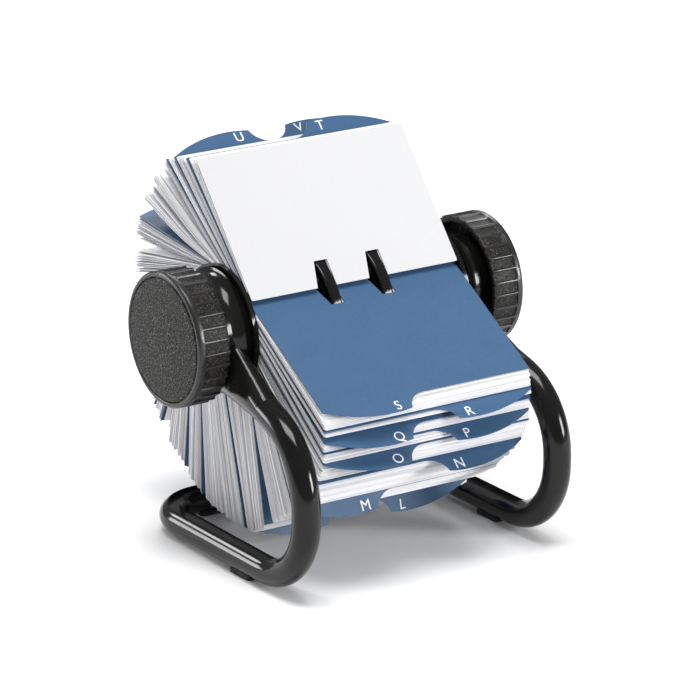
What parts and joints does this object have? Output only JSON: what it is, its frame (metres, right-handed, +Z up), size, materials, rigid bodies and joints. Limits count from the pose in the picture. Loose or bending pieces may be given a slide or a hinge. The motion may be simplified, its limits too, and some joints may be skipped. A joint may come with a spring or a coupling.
{
  "type": "rotary card file",
  "caption": "Open desktop rotary card file: slotted cards and lettered guides on a ring rotor, turned by side knobs between two bent tube frames.",
  "frame": {"origin": "on the desk, under the middle of the whole object", "axes": "+X along the rotor axis to the right, -Y towards the user, +Z up"},
  "size_m": [0.1618, 0.1632, 0.1661],
  "materials": {
    "frame_black": "glossy",
    "knob_black": "grained panels with glossy ribs",
    "face_black": "spark-eroded grain",
    "ring_black": "glossy",
    "core_black": "satin",
    "bush_plastic": "satin",
    "steel": "zinc plated",
    "pad_rubber": "matte",
    "guide_blue": "satin sheet",
    "card_white": "smooth card"
  },
  "bodies": {
    "frame": {"frame_screws": "steel", "front_left_foot_pad": "pad_rubber", "front_right_foot_pad": "pad_rubber", "left_axle_bush": "bush_plastic", "left_side_frame": "frame_black", "rear_cross_tube": "frame_black", "rear_left_foot_pad": "pad_rubber", "rear_right_foot_pad": "pad_rubber", "right_axle_bush": "bush_plastic", "right_side_frame": "frame_black"},
    "rotor": {"axle": "steel", "cards_a_to_w": "card_white", "cards_c_to_a": "card_white", "cards_e_to_c": "card_white", "cards_g_to_e": "card_white", "cards_i_to_g": "card_white", "cards_k_to_i": "card_white", "cards_m_to_k": "card_white", "cards_o_to_m": "card_white", "cards_q_to_o": "card_white", "cards_s_to_q": "card_white", "cards_u_to_front": "card_white", "cards_w_to_u": "card_white", "guide_a": "guide_blue", "guide_b": "guide_blue", "guide_c": "guide_blue", "guide_d": "guide_blue", "guide_e": "guide_blue", "guide_f": "guide_blue", "guide_g": "guide_blue", "guide_h": "guide_blue", "guide_i": "guide_blue", "guide_j": "guide_blue", "guide_k": "guide_blue", "guide_l": "guide_blue", "guide_m": "guide_blue", "guide_n": "guide_blue", "guide_o": "guide_blue", "guide_p": "guide_blue", "guide_q": "guide_blue", "guide_r": "guide_blue", "guide_t": "guide_blue", "guide_u": "guide_blue", "guide_v": "guide_blue", "guide_w": "guide_blue", "guide_xyz": "guide_blue", "left_card_ring": "ring_black", "left_friction_washer": "steel", "left_knob": "knob_black", "left_knob_face": "face_black", "left_knob_screw": "steel", "right_card_ring": "ring_black", "right_friction_washer": "steel", "right_knob": "knob_black", "right_knob_face": "face_black", "right_knob_screw": "steel", "rotor_core": "core_black"},
    "front_card": {"front_card": "card_white"},
    "s_guide": {"guide_s": "guide_blue"}
  },
  "joints": [
    {"name": "rotor_spin", "type": "hinge", "parent": "frame", "child": "rotor", "pos_m": [0, 0.0022, 0.095], "axis": [1, 0, 0], "continuous": true},
    {"name": "front_card_flip", "type": "hinge", "parent": "rotor", "child": "front_card", "pos_m": [0, -0.0184, 0.1114], "axis": [1, 0, 0], "range_deg": [0, 160]},
    {"name": "guide_s_flip", "type": "hinge", "parent": "rotor", "child": "s_guide", "pos_m": [0, -0.0184, 0.1114], "axis": [1, 0, 0], "range_deg": [-160, 0]}
  ]
}
